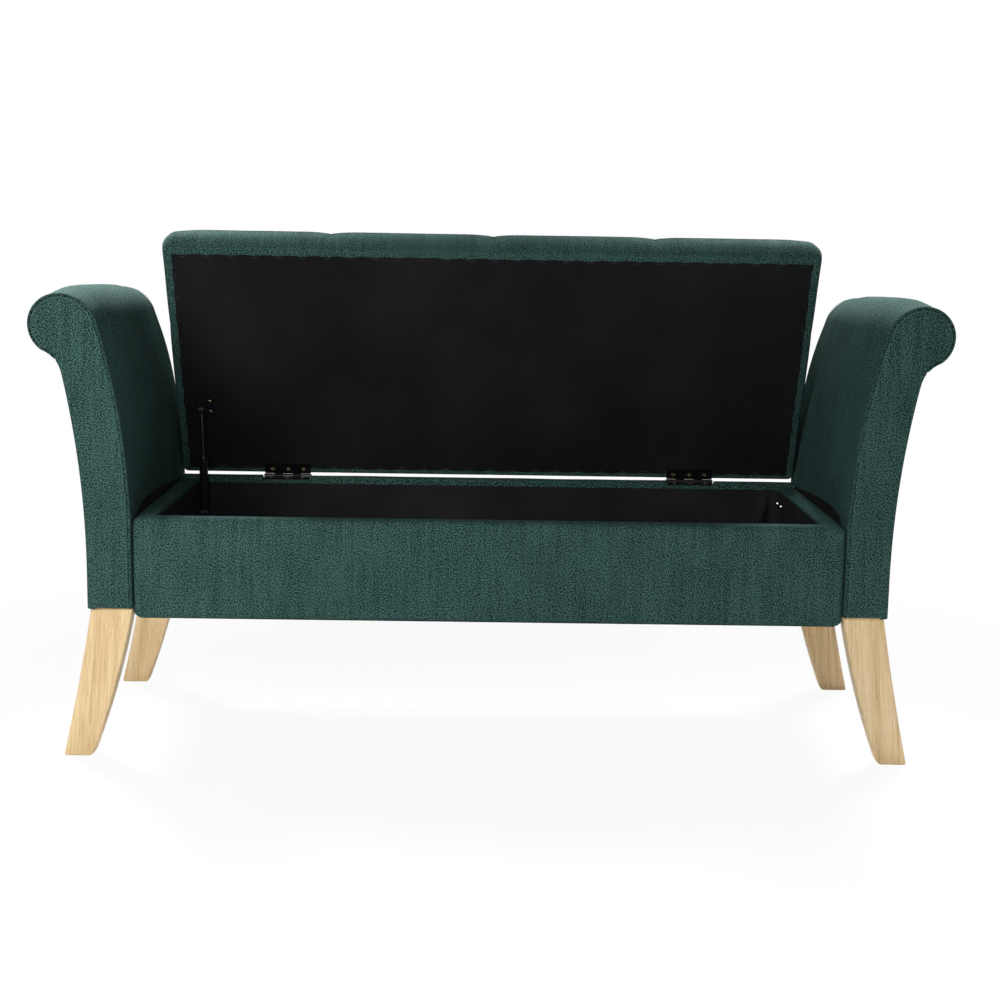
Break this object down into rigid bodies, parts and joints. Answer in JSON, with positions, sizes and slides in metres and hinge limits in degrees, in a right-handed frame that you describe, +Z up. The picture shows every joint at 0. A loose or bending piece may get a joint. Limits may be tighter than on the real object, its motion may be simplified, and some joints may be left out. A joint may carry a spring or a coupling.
{
  "type": "storage bench",
  "caption": "Upholstered storage bench with scrolled arms, sabre legs and a hinged, tufted seat lid held open by a gas strut over a lined well.",
  "frame": {"origin": "on the floor, midway along the bench and midway between the front of the arms and the back of the open lid", "axes": "+X to the right seen from the front, -Y to the front, +Z up"},
  "size_m": [1.3, 0.4701, 0.7562],
  "materials": {
    "green_weave": "dark green linen-look weave",
    "black_cloth": "black non-woven lining cloth",
    "leg_wood": "clear satin over pale hardwood",
    "frame_board": "raw board",
    "hinge_black": "black satin",
    "brass_screw": "brass plated",
    "bright_bolt": "bright nickel",
    "zinc_fixing": "zinc plated",
    "strut_black": "black satin",
    "strut_rod": "ground chrome",
    "socket_plastic": "black nylon"
  },
  "bodies": {
    "frame": {"front_panel_cover": "green_weave", "back_rail_cover": "green_weave", "left_rim_cover": "green_weave", "right_rim_cover": "green_weave", "left_arm_front_facing": "green_weave", "left_arm_rear_facing": "green_weave", "left_arm_outer_panel": "green_weave", "left_arm_inner_pad": "green_weave", "right_arm_front_facing": "green_weave", "right_arm_rear_facing": "green_weave", "right_arm_outer_panel": "green_weave", "right_arm_inner_pad": "green_weave", "box_front_board": "frame_board", "box_back_board": "frame_board", "box_left_board": "frame_board", "box_right_board": "frame_board", "box_bottom_board": "frame_board", "bottom_battens": "frame_board", "left_arm_front_board": "frame_board", "left_arm_rear_board": "frame_board", "left_arm_inner_board": "frame_board", "left_arm_rails": "frame_board", "right_arm_front_board": "frame_board", "right_arm_rear_board": "frame_board", "right_arm_inner_board": "frame_board", "right_arm_rails": "frame_board", "storage_lining": "black_cloth", "bottom_dust_cover": "black_cloth", "left_arm_gap_lining": "black_cloth", "right_arm_gap_lining": "black_cloth", "front_left_leg": "leg_wood", "front_right_leg": "leg_wood", "rear_left_leg": "leg_wood", "rear_right_leg": "leg_wood", "left_hinge_rail_leaf": "hinge_black", "right_hinge_rail_leaf": "hinge_black", "hinge_pins": "hinge_black", "hinge_rail_screws": "brass_screw", "strut_lower_screws": "brass_screw", "arm_bolts": "bright_bolt", "arm_tee_nuts": "zinc_fixing", "leg_hanger_bolts": "zinc_fixing", "leg_tee_nuts": "zinc_fixing", "strut_lower_bracket": "strut_black"},
    "lid": {"lid_board": "frame_board", "lid_dust_cover": "black_cloth", "seat_cushion": "green_weave", "tuft_buttons": "green_weave", "left_hinge_lid_leaf": "hinge_black", "right_hinge_lid_leaf": "hinge_black", "hinge_lid_screws": "brass_screw", "strut_upper_bracket": "strut_black", "strut_upper_screws": "brass_screw"},
    "strut_barrel": {"strut_cylinder": "strut_black", "strut_gland": "socket_plastic", "strut_lower_socket": "socket_plastic"},
    "strut_plunger": {"strut_rod": "strut_rod", "strut_piston": "strut_rod", "strut_upper_socket": "socket_plastic"}
  },
  "joints": [
    {"name": "lid_hinge", "type": "hinge", "parent": "frame", "child": "lid", "pos_m": [0, 0.175, 0.3565], "axis": [-1, 0, 0], "range_deg": [-68.16, 0], "stiffness_Nm_per_rad": 3.8, "springref_deg": 97.98},
    {"name": "strut_pivot", "type": "hinge", "parent": "frame", "child": "strut_barrel", "pos_m": [-0.468, 0.141, 0.2995], "axis": [-1, 0, 0], "range_deg": [-56.67, 0.5]},
    {"name": "strut_slide", "type": "slide", "parent": "strut_barrel", "child": "strut_plunger", "axis": [0, -0.1386, 0.9904], "range_m": [-0.06928, 0.0005]}
  ],
  "couplings": [
    {"joint": "strut_pivot", "follows": "lid_hinge", "ratio": 0.824},
    {"joint": "strut_slide", "follows": "lid_hinge", "m_per_rad": 0.057813}
  ]
}
